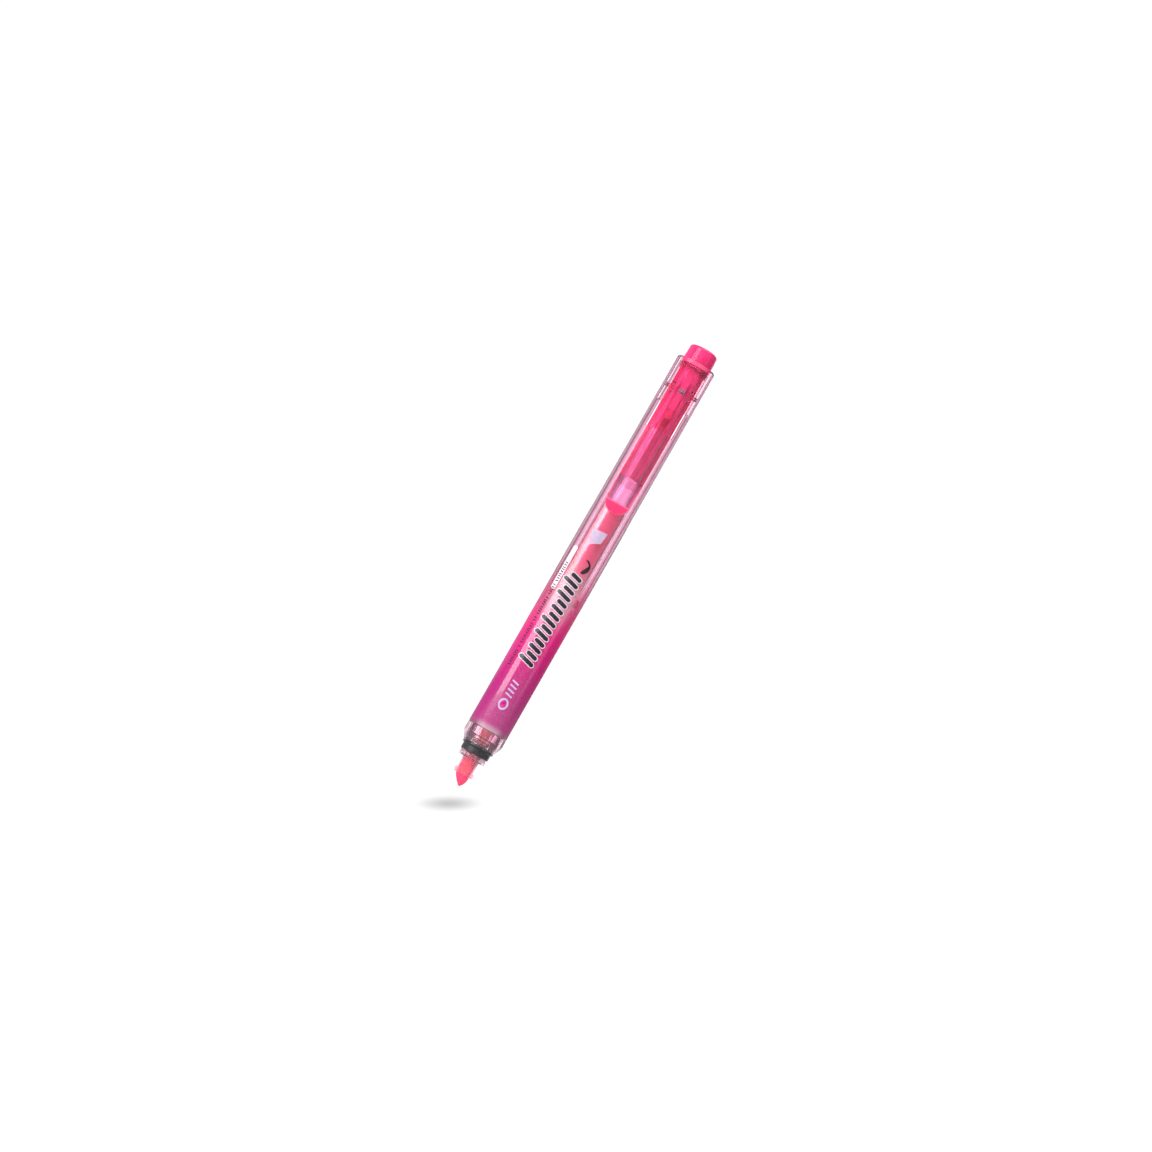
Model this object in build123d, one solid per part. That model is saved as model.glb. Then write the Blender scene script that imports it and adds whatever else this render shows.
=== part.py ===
"""Retractable highlighter with a clear barrel, a lifting clip and a two-leaf shutter at the mouth.

Millimetres.  The pen axis is Z, the push button is up, the nib points down, and the clip faces -Y.
The origin is on the axis, at the plane where the nose cone meets the barrel.  The pen is modelled
with its nib out: the knock is down and latched, the shutter leaves are open and the clip is shut.
"""
from build123d import *
import math
import os

# ---- barrel ---------------------------------------------------------------------------------
BARREL_R = 6.25
BORE_R = 5.0
BARREL_TOP = 120.8
GRIP_TOP = 69.0
REAR_START = 70.2
REAR_R = 6.18
RIM_ROUND = 0.35

# ---- front: nose cone, seal, mouth ------------------------------------------------------------
NOSE_STRAIGHT = -2.57
NOSE_MID = -3.71
NOSE_MID_R = 5.62
NOSE_END = -5.42
NOSE_END_R = 4.85
NOSE_BORE_R = 4.62
NOSE_THROAT_R = 4.42
NOSE_THROAT_Z = -4.2
SPIGOT_TOP = 3.0
SPIGOT_R = 4.97
SEAL_LIP_Z = -5.78
SEAL_END = -7.71
SEAL_R = 4.34
SEAL_BORE_R = 3.8
MOUTH_END = -9.42
MOUTH_R = 4.15
MOUTH_BORE_R = 3.15
POCKET_R = 3.76
POCKET_FLOOR = -9.1
POCKET_HALF_X = 2.95
LEG_OUTER_R = 3.76
LEG_INNER_X = 3.22
LEG_OUTER_X = 5.0
LEG_HALF_Y = 1.2
LEG_ROOT_Z = -8.11

# ---- shutter ----------------------------------------------------------------------------------
HINGE_Y = 3.2
HINGE_Z = -4.52
LEAF_INNER_R = 3.25
LEAF_OUTER_R = 3.58
LEAF_HALF_ANGLE = 48.5
LEAF_CLOSE_ANGLE = 50.0
LEAF_MEET_GAP = 0.03
LEAF_START = 0.66
LEAF_REACH = 6.0
NECK_INNER_Y = 2.92
NECK_OUTER_Y = 3.5
NECK_OVERLAP = 0.3
KNUCKLE_R = 0.45
KNUCKLE_HALF_X = 1.6
SHUTTER_PIN_R = 0.22
PIN_CLEARANCE = 0.04
BOSS_INNER_X = 1.7
BOSS_OUTER_X = 2.4
BOSS_STEM_HALF_Y = 0.35
BOSS_STEM_TOP = -3.35
CARRIER_R = 4.57
CARRIER_BORE_R = 3.3
CARRIER_TOP = -2.35
CARRIER_RING_END = -3.55
BLOCK_END = -4.6
BLOCK_OUTER_R = 4.38
BLOCK_HALF_Y = 1.7

# ---- seal sleeve and return spring ------------------------------------------------------------
SLEEVE_R = 4.6
SLEEVE_BORE_R = 4.22
SLEEVE_TOP = 24.0
SPRING_WIRE_R = 0.22
SPRING_MEAN_R = 4.42
SPRING_TURNS = 8
SPRING_END_GAP = 0.03
COLLAR_Z = 43.0
COLLAR_LENGTH = 2.0
COLLAR_R = 4.8
COLLAR_CHAMFER = 0.4

# ---- cartridge: nib, holder, ink tube -----------------------------------------------------------
NIB_WIDTH = 4.2
NIB_THICKNESS = 2.8
NIB_SHOULDER = -14.27
NIB_TIP = -17.64
NIB_BODY_TOP = -5.6
NIB_BEVEL_TOP = -14.67
NIB_EDGE_HALF_Y = 0.35
NIB_POINT_Z = -17.58
NIB_POINT_RIGHT_X = 0.75
NIB_POINT_LEFT_X = 0.45
NIB_RIGHT_SIDE = (1.58, -16.55)
NIB_LEFT_SIDE = (-0.75, -16.3)
STEM_R = 1.45
STEM_TOP = 9.0
HOLDER_WIDTH = 4.9
HOLDER_THICKNESS = 3.4
HOLDER_FIT = 0.02
LUG_TOP = -12.85
LUG_REACH = 3.0
LUG_HALF_Y = 0.6
LUG_ROUND = 0.25
NIB_SEAT_GAP = 0.05
PLUG_Z = 1.9
PLUG_R = 3.95
PLUG_STEP_Z = 6.8
PLUG_TOP = 8.0
ORING_Z = 5.0
ORING_R = 0.42
ORING_OUTER_R = 4.19
INK_TUBE_R = 4.0
INK_TUBE_BORE_R = 3.5
INK_TUBE_TOP = 82.3
INK_R = 3.46
INK_TOP = 72.8
END_PLUG_Z = 79.8
END_PLUG_CHAMFER = 0.4

# ---- knock ------------------------------------------------------------------------------------
KNOCK_R = 3.85
KNOCK_WALL = 1.1
KNOCK_TOP = 118.9
KNOCK_FLOOR = 1.6
KNOCK_GROOVES = 8
GROOVE_START = 84.3
GROOVE_END = 112.9
GROOVE_DEPTH = 0.3
GROOVE_R = 0.45
BUTTON_R = 4.5
BUTTON_TOP_R = 4.32
BUTTON_BASE = 118.4
BUTTON_TOP = 125.7
BUTTON_ROUND = 0.8
BUTTON_SPIGOT_R = 2.72
BUTTON_SPIGOT_Z = 115.4
BUTTON_CUP_Z = 118.9
BUTTON_SEAT_R = 3.9
TOOTH_TOP = 104.5
TOOTH_LENGTH = 3.0
TOOTH_R = 4.45
TOOTH_HALF_X = 1.3
TOOTH_CHAMFER = 0.5
FIN_TOP = 92.1
FIN_LENGTH = 2.0
FIN_R = 4.8
FIN_HALF_X = 1.0

# ---- rear collar, clip and its hinge -------------------------------------------------------------
REAR_COLLAR_Z = 107.2
REAR_COLLAR_TOP = 120.65
REAR_COLLAR_R = 4.97
REAR_COLLAR_BORE_R = 4.62
SLOT_HALF_X = 4.15
SLOT_BOTTOM = 98.0
SLOT_TOP = 119.6
CHEEK_OUTER_X = 5.2
CHEEK_FRONT_Y = -6.9
CHEEK_BACK_Y = -3.4
CHEEK_BOTTOM = 106.0
CHEEK_CHAMFER = 0.3
CLIP_PIN_Y = -5.7
CLIP_PIN_Z = 111.0
CLIP_PIN_R = 0.6
CLIP_PIN_HALF_X = 5.0
CLIP_PIN_SEAT = 0.01
CLIP_PIN_CLEARANCE = 0.05
SLOT_BACK_Y = -2.0
CLIP_HALF_X = 3.85
CLIP_TOP = 118.8
CLIP_TIP = 70.78
CLIP_FACE_Y = -8.1
CLIP_PLATE = 0.8
CLIP_SKIRT = 1.3
CLIP_SKIRT_Y = -6.1
CLIP_GAP = 0.12
CLIP_FOOT_LENGTH = 3.1
CLIP_ROUND = 0.3
EAR_R = 1.6
LATCH_HALF_X = 1.4
LATCH_Y = -5.6
LATCH_THICKNESS = 0.4
LATCH_LIP_Z = 104.6
LATCH_LIP_Y = -4.05
LATCH_FOOT_HALF_X = 2.0
LATCH_FOOT_FRONT_Y = -6.05
LATCH_FOOT_BACK_Y = -5.1
LATCH_FOOT_TOP = 99.5
CLIP_COIL_R = 0.9
CLIP_COIL_WIRE_R = 0.14
CLIP_COIL_TURNS = 4
CLIP_COIL_HALF_X = 1.0

# How far a cutting tool runs past the solid that it cuts.
PAST = 1.0
WIDE = 9.0


def rod(radius, low, high):
    """A cylinder on the pen axis between two heights."""
    return Pos(0, 0, low) * Cylinder(radius, high - low, align=(Align.CENTER, Align.CENTER, Align.MIN))


def tube(outer, inner, low, high):
    return rod(outer, low, high) - rod(inner, low - PAST, high + PAST)


def block(x, y, z):
    """A box from its low and high value along each axis."""
    size = (x[1] - x[0], y[1] - y[0], z[1] - z[0])
    centre = ((x[0] + x[1]) / 2, (y[0] + y[1]) / 2, (z[0] + z[1]) / 2)
    return Pos(*centre) * Box(*size)


def cross_rod(radius, low_x, high_x, y, z):
    """A cylinder along X."""
    length = high_x - low_x
    return Pos((low_x + high_x) / 2, y, z) * Rot(0, 90, 0) * Cylinder(radius, length)


def through_rod(radius, low_y, high_y, z):
    """A cylinder along Y, centred on X = 0."""
    return Pos(0, (low_y + high_y) / 2, z) * Rot(90, 0, 0) * Cylinder(radius, high_y - low_y)


def stadium(width, thickness, low, high):
    """An upright bar of stadium section, wide along X."""
    return extrude(Plane.XY.offset(low) * SlotOverall(width, thickness), high - low)


def spun(points):
    """A solid turned about Z from an outline of (radius, height) points."""
    outline = make_face(Polyline([(r, 0, z) for r, z in points], close=True))
    return revolve(outline, Axis.Z)


def clip_slot():
    """The opening in the front wall that the clip's upper half works in."""
    return block((-SLOT_HALF_X, SLOT_HALF_X), (-WIDE, SLOT_BACK_Y), (SLOT_BOTTOM, SLOT_TOP))


def make_barrel():
    body = spun([
        (0, 0),
        (BARREL_R, 0),
        (BARREL_R, GRIP_TOP),
        (REAR_R, REAR_START),
        (REAR_R, BARREL_TOP),
        (0, BARREL_TOP),
    ])
    body = fillet(body.edges().group_by(Axis.Z)[-1], RIM_ROUND)
    for side in (-1, 1):
        inner, outer = sorted((side * SLOT_HALF_X, side * CHEEK_OUTER_X))
        cheek = block((inner, outer), (CHEEK_FRONT_Y, CHEEK_BACK_Y), (CHEEK_BOTTOM, SLOT_TOP))
        body += chamfer(cheek.edges().group_by(Axis.Y)[0], CHEEK_CHAMFER)
    body -= rod(BORE_R, -PAST, BARREL_TOP + PAST)
    body -= clip_slot()
    seat_r = CLIP_PIN_R + CLIP_PIN_SEAT
    return body - cross_rod(seat_r, -CLIP_PIN_HALF_X, CLIP_PIN_HALF_X, CLIP_PIN_Y, CLIP_PIN_Z)


def make_nose_cone():
    return spun([
        (NOSE_BORE_R, SPIGOT_TOP),
        (SPIGOT_R, SPIGOT_TOP),
        (SPIGOT_R, 0),
        (BARREL_R, 0),
        (BARREL_R, NOSE_STRAIGHT),
        (NOSE_MID_R, NOSE_MID),
        (NOSE_END_R, NOSE_END),
        (NOSE_THROAT_R, NOSE_END),
        (NOSE_THROAT_R, NOSE_THROAT_Z),
        (NOSE_BORE_R, NOSE_THROAT_Z),
    ])


def make_front_seal():
    """Rubber band with a thin lip that shows as a line round the nose."""
    return spun([
        (SEAL_BORE_R, NOSE_END),
        (NOSE_END_R, NOSE_END),
        (NOSE_END_R, SEAL_LIP_Z),
        (SEAL_R, SEAL_LIP_Z - 0.1),
        (SEAL_R, SEAL_END),
        (SEAL_BORE_R, SEAL_END),
    ])


def make_mouth_ring():
    """Clear ring round the mouth, pocketed for the open leaves, with two legs up to the carrier."""
    ring = tube(MOUTH_R, MOUTH_BORE_R, MOUTH_END, SEAL_END)
    pocket_top = SEAL_END + PAST
    pocket = rod(POCKET_R, POCKET_FLOOR, pocket_top)
    pocket &= block((-POCKET_HALF_X, POCKET_HALF_X), (-WIDE, WIDE), (POCKET_FLOOR, pocket_top))
    ring -= pocket
    legs = rod(LEG_OUTER_R, SEAL_END, BLOCK_END)
    for side in (-1, 1):
        inner, outer = sorted((side * LEG_INNER_X, side * LEG_OUTER_X))
        ring += legs & block((inner, outer), (-LEG_HALF_Y, LEG_HALF_Y), (LEG_ROOT_Z, BLOCK_END))
    return ring


def make_shutter_carrier():
    """Smoked ring behind the mouth that holds both hinge pins in four bosses."""
    carrier = tube(CARRIER_R, CARRIER_BORE_R, CARRIER_RING_END, CARRIER_TOP)
    sides = tube(BLOCK_OUTER_R, LEG_INNER_X, BLOCK_END, CARRIER_RING_END)
    carrier += sides & block((-WIDE, WIDE), (-BLOCK_HALF_Y, BLOCK_HALF_Y), (BLOCK_END, CARRIER_RING_END))
    for hinge_y in (-HINGE_Y, HINGE_Y):
        for side in (-1, 1):
            low, high = sorted((side * BOSS_INNER_X, side * BOSS_OUTER_X))
            carrier += cross_rod(KNUCKLE_R, low, high, hinge_y, HINGE_Z)
            stem_y = (hinge_y - BOSS_STEM_HALF_Y, hinge_y + BOSS_STEM_HALF_Y)
            carrier += block((low, high), stem_y, (HINGE_Z, BOSS_STEM_TOP))
        carrier -= cross_rod(SHUTTER_PIN_R, -WIDE, WIDE, hinge_y, HINGE_Z)
    return carrier


def make_shutter_pin(hinge_y):
    return cross_rod(SHUTTER_PIN_R, -BOSS_OUTER_X, BOSS_OUTER_X, hinge_y, HINGE_Z)


def make_shutter_leaf(side):
    """A curved flap on a pin; side is -1 for the clip side.  Both meet on the axis when shut."""
    leaf_top = HINGE_Z - LEAF_START
    leaf_end = HINGE_Z - LEAF_REACH
    shell = tube(LEAF_OUTER_R, LEAF_INNER_R, leaf_end, leaf_top)
    half_x = LEAF_OUTER_R * math.sin(math.radians(LEAF_HALF_ANGLE))
    shell &= block((-half_x, half_x), (0, WIDE), (leaf_end, HINGE_Z))
    neck = block((-KNUCKLE_HALF_X, KNUCKLE_HALF_X), (NECK_INNER_Y, NECK_OUTER_Y),
                 (leaf_top - NECK_OVERLAP, HINGE_Z))
    knuckle = cross_rod(KNUCKLE_R, -KNUCKLE_HALF_X, KNUCKLE_HALF_X, HINGE_Y, HINGE_Z)
    leaf = shell + neck + knuckle
    hinge = Axis((0, HINGE_Y, HINGE_Z), (1, 0, 0))
    leaf = leaf.rotate(hinge, -LEAF_CLOSE_ANGLE)
    leaf -= block((-WIDE, WIDE), (-WIDE, LEAF_MEET_GAP), (HINGE_Z - WIDE, HINGE_Z + WIDE))
    leaf = leaf.rotate(hinge, LEAF_CLOSE_ANGLE)
    bore = SHUTTER_PIN_R + PIN_CLEARANCE
    leaf -= cross_rod(bore, -WIDE, WIDE, HINGE_Y, HINGE_Z)
    return leaf if side > 0 else leaf.mirror(Plane.XZ)


def make_seal_sleeve():
    return tube(SLEEVE_R, SLEEVE_BORE_R, CARRIER_TOP, SLEEVE_TOP)


def coil(mean_r, wire_r, pitch, height):
    path = Helix(pitch, height, mean_r)
    section = Plane(path @ 0, z_dir=path % 0) * Circle(wire_r)
    return sweep(section, path=path, is_frenet=True)


def make_return_spring():
    end_z = SPRING_WIRE_R + SPRING_END_GAP
    height = COLLAR_Z - SLEEVE_TOP - 2 * end_z
    spring = coil(SPRING_MEAN_R, SPRING_WIRE_R, height / SPRING_TURNS, height)
    return Pos(0, 0, SLEEVE_TOP + end_z) * spring


def make_spring_collar():
    ring = tube(COLLAR_R, INK_TUBE_R, COLLAR_Z, COLLAR_Z + COLLAR_LENGTH)
    return chamfer(ring.edges().group_by(Axis.Z)[-1].sort_by(SortBy.RADIUS)[-1], COLLAR_CHAMFER)


def make_nib():
    """Felt nib: a flat bar that narrows to a slanted, slightly one-sided point."""
    half = NIB_WIDTH / 2
    right_point = (NIB_POINT_RIGHT_X, NIB_POINT_Z)
    left_point = (NIB_POINT_LEFT_X, NIB_POINT_Z)
    left_shoulder = (-half, NIB_SHOULDER)
    right_shoulder = (half, NIB_SHOULDER)
    body = Polyline([left_shoulder, (-half, NIB_BODY_TOP), (half, NIB_BODY_TOP), right_shoulder])
    right = Spline([right_shoulder, NIB_RIGHT_SIDE, right_point], tangents=[(0, -1), (-1.2, -1)])
    left = Spline([left_point, NIB_LEFT_SIDE, left_shoulder], tangents=[(-1, 1.1), (-0.5, 1)])
    front = Plane.XZ * make_face(body + right + Line(right_point, left_point) + left)
    silhouette = extrude(front, NIB_THICKNESS, both=True)
    thick = NIB_THICKNESS / 2
    side = Plane.YZ * make_face(Polyline([
        (-thick, NIB_BODY_TOP),
        (thick, NIB_BODY_TOP),
        (thick, NIB_BEVEL_TOP),
        (NIB_EDGE_HALF_Y, NIB_TIP),
        (-NIB_EDGE_HALF_Y, NIB_TIP),
        (-thick, NIB_BEVEL_TOP),
    ], close=True))
    nib = silhouette & extrude(side, NIB_WIDTH, both=True)
    nib &= stadium(NIB_WIDTH, NIB_THICKNESS, NIB_TIP, NIB_BODY_TOP)
    return nib + rod(STEM_R, NIB_BODY_TOP - PAST, STEM_TOP)


def make_nib_holder():
    """Clear holder: a flat sleeve round the nib with two lugs, and a round plug for the ink tube."""
    holder = stadium(HOLDER_WIDTH, HOLDER_THICKNESS, NIB_SHOULDER, PLUG_Z)
    lugs = block((-LUG_REACH, LUG_REACH), (-LUG_HALF_Y, LUG_HALF_Y), (NIB_SHOULDER, LUG_TOP))
    holder += fillet(lugs.edges().filter_by(Axis.Y), LUG_ROUND)
    holder += rod(PLUG_R, PLUG_Z, PLUG_STEP_Z)
    holder += rod(INK_TUBE_BORE_R - HOLDER_FIT, PLUG_STEP_Z, PLUG_TOP)
    holder -= Pos(0, 0, ORING_Z) * Torus(ORING_OUTER_R - ORING_R, ORING_R + HOLDER_FIT)
    holder -= stadium(NIB_WIDTH + 2 * HOLDER_FIT, NIB_THICKNESS + 2 * HOLDER_FIT,
                      NIB_SHOULDER - PAST, NIB_BODY_TOP + NIB_SEAT_GAP)
    return holder - rod(STEM_R + HOLDER_FIT, NIB_BODY_TOP - PAST, PLUG_TOP + PAST)


def make_holder_oring():
    return Pos(0, 0, ORING_Z) * Torus(ORING_OUTER_R - ORING_R, ORING_R)


def make_ink_tube():
    return tube(INK_TUBE_R, INK_TUBE_BORE_R, PLUG_STEP_Z, INK_TUBE_TOP)


def make_ink_core():
    """Fibre core soaked with ink, with a seat for the nib's stem."""
    return rod(INK_R, PLUG_TOP, INK_TOP) - rod(STEM_R, PLUG_TOP - PAST, STEM_TOP)


def make_end_plug():
    plug = rod(INK_TUBE_BORE_R - HOLDER_FIT, END_PLUG_Z, INK_TUBE_TOP)
    return chamfer(plug.edges().group_by(Axis.Z)[0], END_PLUG_CHAMFER)


def make_knock_body():
    """Long coloured pusher: fluted tube, latch tooth in front and stop fin behind."""
    body = rod(KNOCK_R, INK_TUBE_TOP, KNOCK_TOP)
    fin = block((-FIN_HALF_X, FIN_HALF_X), (0, FIN_R), (FIN_TOP - FIN_LENGTH, FIN_TOP))
    body += fin & rod(FIN_R, 0, KNOCK_TOP)
    tooth = block((-TOOTH_HALF_X, TOOTH_HALF_X), (-TOOTH_R, 0), (TOOTH_TOP - TOOTH_LENGTH, TOOTH_TOP))
    tooth = chamfer(tooth.edges().group_by(Axis.Z)[0].group_by(Axis.Y)[0], TOOTH_CHAMFER)
    body += tooth & rod(TOOTH_R, 0, KNOCK_TOP)
    for number in range(KNOCK_GROOVES):
        angle = 360 / KNOCK_GROOVES * (number + 0.5)
        groove_x = KNOCK_R + GROOVE_R - GROOVE_DEPTH
        body -= Rot(0, 0, angle) * Pos(groove_x, 0, 0) * rod(GROOVE_R, GROOVE_START, GROOVE_END)
    return body - rod(KNOCK_R - KNOCK_WALL, INK_TUBE_TOP + KNOCK_FLOOR, KNOCK_TOP + PAST)


def make_knock_button():
    """Push button: a shallow cap that closes the pusher's end."""
    button = spun([
        (0, BUTTON_CUP_Z),
        (BUTTON_SPIGOT_R, BUTTON_SPIGOT_Z),
        (BUTTON_SPIGOT_R, KNOCK_TOP),
        (BUTTON_SEAT_R, KNOCK_TOP),
        (BUTTON_SEAT_R, BUTTON_BASE),
        (BUTTON_R, BUTTON_BASE),
        (BUTTON_R, BARREL_TOP),
        (BUTTON_TOP_R, BUTTON_TOP),
        (0, BUTTON_TOP),
    ])
    return fillet(button.edges().group_by(Axis.Z)[-1], BUTTON_ROUND)


def make_rear_collar():
    return tube(REAR_COLLAR_R, REAR_COLLAR_BORE_R, REAR_COLLAR_Z, REAR_COLLAR_TOP) - clip_slot()


def make_clip():
    """Channel-section clip with a rounded end, a foot that meets the barrel, and two hinge ears."""
    end_centre = CLIP_TIP + CLIP_HALF_X
    outline = block((-CLIP_HALF_X, CLIP_HALF_X), (CLIP_FACE_Y, CLIP_SKIRT_Y), (end_centre, CLIP_TOP))
    outline += through_rod(CLIP_HALF_X, CLIP_FACE_Y, CLIP_SKIRT_Y, end_centre)
    inner_x = CLIP_HALF_X - CLIP_SKIRT
    inner = (-inner_x, inner_x)
    depth = (CLIP_FACE_Y + CLIP_PLATE, 0)
    foot_top = CLIP_TIP + CLIP_FOOT_LENGTH
    hollow_end = foot_top + inner_x / 2
    hollow = block(inner, depth, (hollow_end, CLIP_TOP + PAST))
    hollow += through_rod(inner_x, *depth, hollow_end) & block(inner, depth, (foot_top, CLIP_TOP))
    clip = outline - hollow
    for side in (-1, 1):
        low, high = sorted((side * inner_x, side * CLIP_HALF_X))
        clip += cross_rod(EAR_R, low, high, CLIP_PIN_Y, CLIP_PIN_Z)
    clip = fillet(clip.edges().group_by(Axis.Y)[0], CLIP_ROUND)
    clip -= rod(REAR_R + CLIP_GAP, 0, SLOT_BOTTOM)
    return clip - cross_rod(CLIP_PIN_R + CLIP_PIN_CLEARANCE, -WIDE, WIDE, CLIP_PIN_Y, CLIP_PIN_Z)


def make_clip_pin():
    return cross_rod(CLIP_PIN_R, -CLIP_PIN_HALF_X, CLIP_PIN_HALF_X, CLIP_PIN_Y, CLIP_PIN_Z)


def make_clip_spring():
    """Torsion spring round the clip's pin."""
    length = 2 * CLIP_COIL_HALF_X
    turns = coil(CLIP_COIL_R, CLIP_COIL_WIRE_R, length / CLIP_COIL_TURNS, length)
    return Pos(-CLIP_COIL_HALF_X, CLIP_PIN_Y, CLIP_PIN_Z) * Rot(0, 90, 0) * turns


def make_latch_leaf():
    """Springy hook in the slot: its lip stands over the pusher's tooth and keeps the nib out."""
    width = (-LATCH_HALF_X, LATCH_HALF_X)
    lip_top = LATCH_LIP_Z + LATCH_THICKNESS
    strip = block(width, (LATCH_Y, LATCH_Y + LATCH_THICKNESS), (SLOT_BOTTOM, lip_top))
    lip = block(width, (LATCH_Y, LATCH_LIP_Y), (LATCH_LIP_Z, lip_top))
    foot = block((-LATCH_FOOT_HALF_X, LATCH_FOOT_HALF_X), (LATCH_FOOT_FRONT_Y, LATCH_FOOT_BACK_Y),
                 (SLOT_BOTTOM, LATCH_FOOT_TOP))
    return strip + lip + foot


PARTS = {
    "barrel": make_barrel,
    "nose_cone": make_nose_cone,
    "front_seal": make_front_seal,
    "mouth_ring": make_mouth_ring,
    "shutter_carrier": make_shutter_carrier,
    "shutter_pin_front": lambda: make_shutter_pin(-HINGE_Y),
    "shutter_pin_back": lambda: make_shutter_pin(HINGE_Y),
    "shutter_leaf_front": lambda: make_shutter_leaf(-1),
    "shutter_leaf_back": lambda: make_shutter_leaf(1),
    "seal_sleeve": make_seal_sleeve,
    "return_spring": make_return_spring,
    "spring_collar": make_spring_collar,
    "nib": make_nib,
    "nib_holder": make_nib_holder,
    "holder_oring": make_holder_oring,
    "ink_tube": make_ink_tube,
    "ink_core": make_ink_core,
    "ink_tube_end_plug": make_end_plug,
    "knock_body": make_knock_body,
    "knock_button": make_knock_button,
    "rear_collar": make_rear_collar,
    "clip": make_clip,
    "clip_pin": make_clip_pin,
    "clip_spring": make_clip_spring,
    "latch_leaf": make_latch_leaf,
}

os.makedirs("parts", exist_ok=True)
for name, make in PARTS.items():
    export_step(make(), f"parts/{name}.step")
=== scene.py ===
"""Looks for the retractable highlighter: clear barrel with a printed fade, pink knock, clip and felt nib.

Metres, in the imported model's own frame: the pen axis is Z, the button is up and the clip faces -Y.
"""
import math
import bmesh
import bpy
from mathutils import Matrix, Vector


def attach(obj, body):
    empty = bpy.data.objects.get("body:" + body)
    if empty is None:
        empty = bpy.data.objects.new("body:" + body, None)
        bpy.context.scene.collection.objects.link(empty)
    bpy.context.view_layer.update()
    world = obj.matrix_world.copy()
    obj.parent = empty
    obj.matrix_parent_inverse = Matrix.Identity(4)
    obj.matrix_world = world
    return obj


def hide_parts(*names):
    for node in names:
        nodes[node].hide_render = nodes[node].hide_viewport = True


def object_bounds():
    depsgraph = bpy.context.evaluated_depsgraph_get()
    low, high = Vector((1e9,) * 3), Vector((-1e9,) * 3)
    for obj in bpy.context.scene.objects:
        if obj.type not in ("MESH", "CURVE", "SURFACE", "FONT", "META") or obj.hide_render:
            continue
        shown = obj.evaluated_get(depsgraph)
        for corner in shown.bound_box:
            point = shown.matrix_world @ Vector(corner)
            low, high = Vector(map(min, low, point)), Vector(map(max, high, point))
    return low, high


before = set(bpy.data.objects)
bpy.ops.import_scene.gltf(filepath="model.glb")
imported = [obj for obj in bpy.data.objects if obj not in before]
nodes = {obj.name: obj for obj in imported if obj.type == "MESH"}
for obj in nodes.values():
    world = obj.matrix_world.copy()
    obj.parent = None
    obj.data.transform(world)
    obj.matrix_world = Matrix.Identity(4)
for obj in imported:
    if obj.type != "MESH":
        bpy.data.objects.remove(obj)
cad_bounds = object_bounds()
MM = 0.001
SAME_POINT = 1e-7

# ---- sizes in millimetres, as in the design ----------------------------------------------------
SEGMENTS = 144
SMOOTH_ANGLE = 32  # degrees
BARREL_R = 6.25
BORE_R = 5.0
BARREL_TOP = 120.8
GRIP_TOP = 69.0
REAR_START = 70.2
REAR_R = 6.18
SLOT_HALF_X = 4.15
SLOT_BOTTOM = 98.0
SLOT_TOP = 119.6
CHEEK_OUTER_X = 5.2
CHEEK_FRONT_Y = -6.9
CHEEK_BACK_Y = -3.4
CHEEK_BOTTOM = 106.0
CHEEK_TOP = SLOT_TOP + 0.15
CHEEK_ROUND = 0.22
SLOT_Y = (-9.0, -1.0)
SLOT_ROUND = 0.06

# Closed outlines of the turned pieces, each point a (radius, height).
BARREL_ROUND = 0.25
BARREL_OUTLINE = (
    (BORE_R, 0.0), (BARREL_R, 0.0), (BARREL_R, GRIP_TOP), (REAR_R, REAR_START),
    (REAR_R, BARREL_TOP), (BORE_R, BARREL_TOP),
)
NOSE_ROUND = 0.15
NOSE_OUTLINE = (
    (4.62, 3.0), (4.97, 3.0), (4.97, -0.02), (6.25, -0.02), (6.25, -2.45), (5.62, -3.71),
    (4.85, -5.42), (4.42, -5.42), (4.42, -4.2), (4.62, -4.0),
)
SEAL_ROUND = 0.1
SEAL_OUTLINE = (
    (3.8, -5.80), (3.95, -5.62), (4.14, -5.50), (4.14, -4.75), (4.38, -4.75), (4.38, -5.43), (4.85, -5.43),
    (4.85, -5.72), (4.36, -5.88), (4.34, -6.1), (4.34, -7.5), (4.22, -7.71), (3.8, -7.71),
)
SLEEVE_ROUND = 0.08
SLEEVE_OUTLINE = ((4.22, -2.35), (4.6, -2.35), (4.6, 24.0), (4.22, 24.0))
INK_TUBE_ROUND = 0.1
INK_TUBE_OUTLINE = ((3.5, 6.8), (4.0, 6.8), (4.0, 82.3), (3.5, 82.3))

# Printed marks: each lies PRINT_LIFT above the barrel, or twice or three times that.
PRINT_LIFT = 0.012
PRINT_FACET = 0.35
BAR_COUNT = 14
BAR_FIRST_Z = 22.0
BAR_PITCH = 2.12
BAR_SLANT = 0.28
BAR_R = 0.58
BAR_OUTLINE = 0.30
BAR_FOOT_X = 1.55
BAR_HEIGHTS = (3.8, 2.4, 2.9, 2.2, 3.5, 2.5)
SWOOSH_STEPS = 12
SWOOSH_SWEEP = 150
SWOOSH_OUTER = (0.25, 53.6, 2.3)  # centre across, centre height, radius
SWOOSH_INNER = (-0.25, 53.7, 2.1)
PILL_X = -4.12
PILL_Z = (44.6, 57.4)
PILL_R = 0.62
TICK_GROUPS = (7, 1, 9, 2, 8, 5, 9)
TICK_FIRST_Z = 19.4
TICK_X = (-3.82, -4.42)
TICK_R = 0.15
TICK_PITCH = 0.72
TICK_GAP = 0.7
SIGN_STEPS = 24
SIGN_CENTRE = (0.1, 8.6)
SIGN_OUTER = (1.45, 1.75)
SIGN_INNER = (0.95, 1.2)
SIGN_STROKES = 4
SIGN_STROKE_X = (1.1, -0.7)
SIGN_STROKE_Z = 11.3
SIGN_STROKE_PITCH = 1.35
SIGN_STROKE_RISE = 0.45
SIGN_STROKE_R = 0.24
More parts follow.
